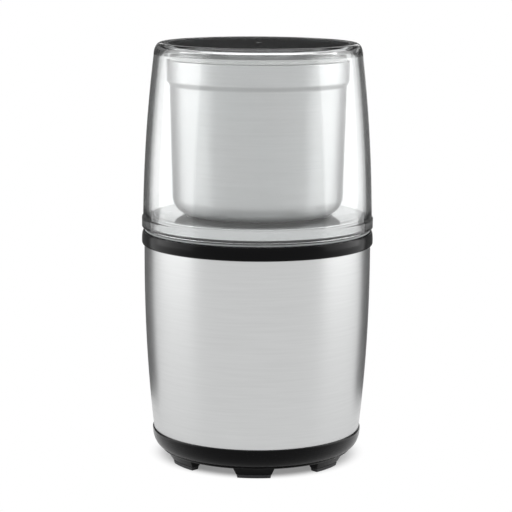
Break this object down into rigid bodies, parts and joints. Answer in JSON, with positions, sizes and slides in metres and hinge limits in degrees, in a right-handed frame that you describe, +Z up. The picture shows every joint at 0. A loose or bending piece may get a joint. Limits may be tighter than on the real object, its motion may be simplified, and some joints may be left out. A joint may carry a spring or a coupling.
{
  "type": "electric spice grinder",
  "caption": "Electric grinder for spices and nuts: steel motor base, lift-out steel bowl with a spinning blade, and a clear lid that is pressed to run it.",
  "frame": {"origin": "on the ground under the centre of the base", "axes": "+Z up along the motor's shaft, front towards -Y, cord notch towards +Y"},
  "size_m": [0.109, 0.109, 0.1975],
  "materials": {
    "clear_lid": "clear moulded plastic, polished",
    "lid_panel": "smoked plastic, polished",
    "white_silicone": "translucent silicone",
    "bowl_steel": "stainless, brushed round the bowl",
    "sleeve_steel": "stainless, brushed round the body",
    "deck_steel": "stainless, spun",
    "blade_steel": "hardened stainless, ground edges",
    "bright_steel": "bright",
    "zinc_steel": "zinc plated",
    "black_gloss": "black, glossy",
    "black_base": "black, soft gloss",
    "black_satin": "black, satin",
    "black_rubber": "black rubber",
    "white_plastic": "natural",
    "blue_case": "epoxy filled case",
    "wire_sleeve": "insulated lead",
    "bronze": "sintered bronze and stamped brass",
    "copper_wire": "enamelled copper wire",
    "copper_bar": "turned copper",
    "core_iron": "stacked laminations",
    "carbon": "pressed carbon"
  },
  "bodies": {
    "base": {"deck_plate": "deck_steel", "deck": "black_satin", "deck_shaft_seal": "black_rubber", "collar": "black_gloss", "deck_screws": "bright_steel", "housing_sleeve": "sleeve_steel", "motor_chassis": "black_satin", "base_pan": "black_base", "feet": "black_base", "foot_pads": "black_rubber", "cord_spool": "black_satin", "spool_screws": "bright_steel", "base_screws": "bright_steel", "cord_gland": "black_rubber", "top_bracket": "zinc_steel", "bottom_bracket": "zinc_steel", "top_bearing": "bright_steel", "bottom_bearing": "bright_steel", "stator_core": "core_iron", "field_coils": "copper_wire", "motor_bolts": "bright_steel", "motor_mounts": "black_rubber", "motor_screws": "bright_steel", "brush_holders": "bronze", "carbon_brushes": "carbon", "brush_springs": "bright_steel", "plunger_spring": "bright_steel", "microswitch": "black_satin", "terminal_block": "white_plastic", "suppression_capacitor": "blue_case", "thermal_fuse": "white_plastic", "internal_wiring": "wire_sleeve"},
    "bowl_gasket": {"bowl_gasket": "black_rubber"},
    "bowl": {"bowl_shell": "bowl_steel", "bowl_hub": "bright_steel", "bowl_foot": "black_satin", "bowl_bush": "bronze", "bowl_shaft_seal": "black_rubber", "bowl_screws": "bright_steel"},
    "blades": {"blade_shaft": "bright_steel", "blade": "blade_steel", "blade_spacer": "bright_steel", "blade_nut": "bright_steel", "retaining_clip": "bright_steel", "upper_coupling": "black_satin"},
    "rotor": {"motor_shaft": "bright_steel", "armature_core": "core_iron", "armature_winding": "copper_wire", "commutator": "copper_bar", "cooling_fan": "black_satin", "lower_coupling": "black_satin"},
    "lid_seal": {"lid_seal": "white_silicone"},
    "lid": {"lid_dome": "clear_lid", "lid_top_panel": "lid_panel"},
    "plunger": {"plunger": "white_plastic"},
    "lever": {"switch_lever": "bright_steel"}
  },
  "joints": [
    {"name": "bowl_lift", "type": "slide", "parent": "base", "child": "bowl_gasket", "axis": [0, 0, 1], "range_m": [0, 0.11]},
    {"name": "bowl_twist", "type": "hinge", "parent": "bowl_gasket", "child": "bowl", "pos_m": [0, 0, 0.1085], "axis": [0, 0, 1], "range_deg": [-22, 0]},
    {"name": "rotor_spin", "type": "hinge", "parent": "base", "child": "rotor", "pos_m": [0, 0, 0.066], "axis": [0, 0, 1], "continuous": true},
    {"name": "blade_spin", "type": "hinge", "parent": "bowl", "child": "blades", "pos_m": [0, 0, 0.129], "axis": [0, 0, 1], "continuous": true},
    {"name": "lid_press", "type": "slide", "parent": "bowl_gasket", "child": "lid_seal", "axis": [0, 0, 1], "range_m": [-0.0015, 0], "stiffness_N_per_m": 1500, "springref_m": 0.004},
    {"name": "lid_lift", "type": "slide", "parent": "lid_seal", "child": "lid", "axis": [0, 0, 1], "range_m": [0, 0.15]},
    {"name": "plunger_press", "type": "slide", "parent": "base", "child": "plunger", "axis": [0, 0, 1], "range_m": [-0.0015, 0], "deforming": ["plunger_spring"]},
    {"name": "lever_tilt", "type": "hinge", "parent": "base", "child": "lever", "pos_m": [0.012, 0.042, 0.09005], "axis": [0, 1, 0], "range_deg": [-7.2, 0]}
  ],
  "couplings": [
    {"joint": "blade_spin", "follows": "rotor_spin", "ratio": 1},
    {"joint": "plunger_press", "follows": "lid_press", "ratio": 1},
    {"joint": "lever_tilt", "follows": "lid_press", "rad_per_m": 83.333}
  ]
}
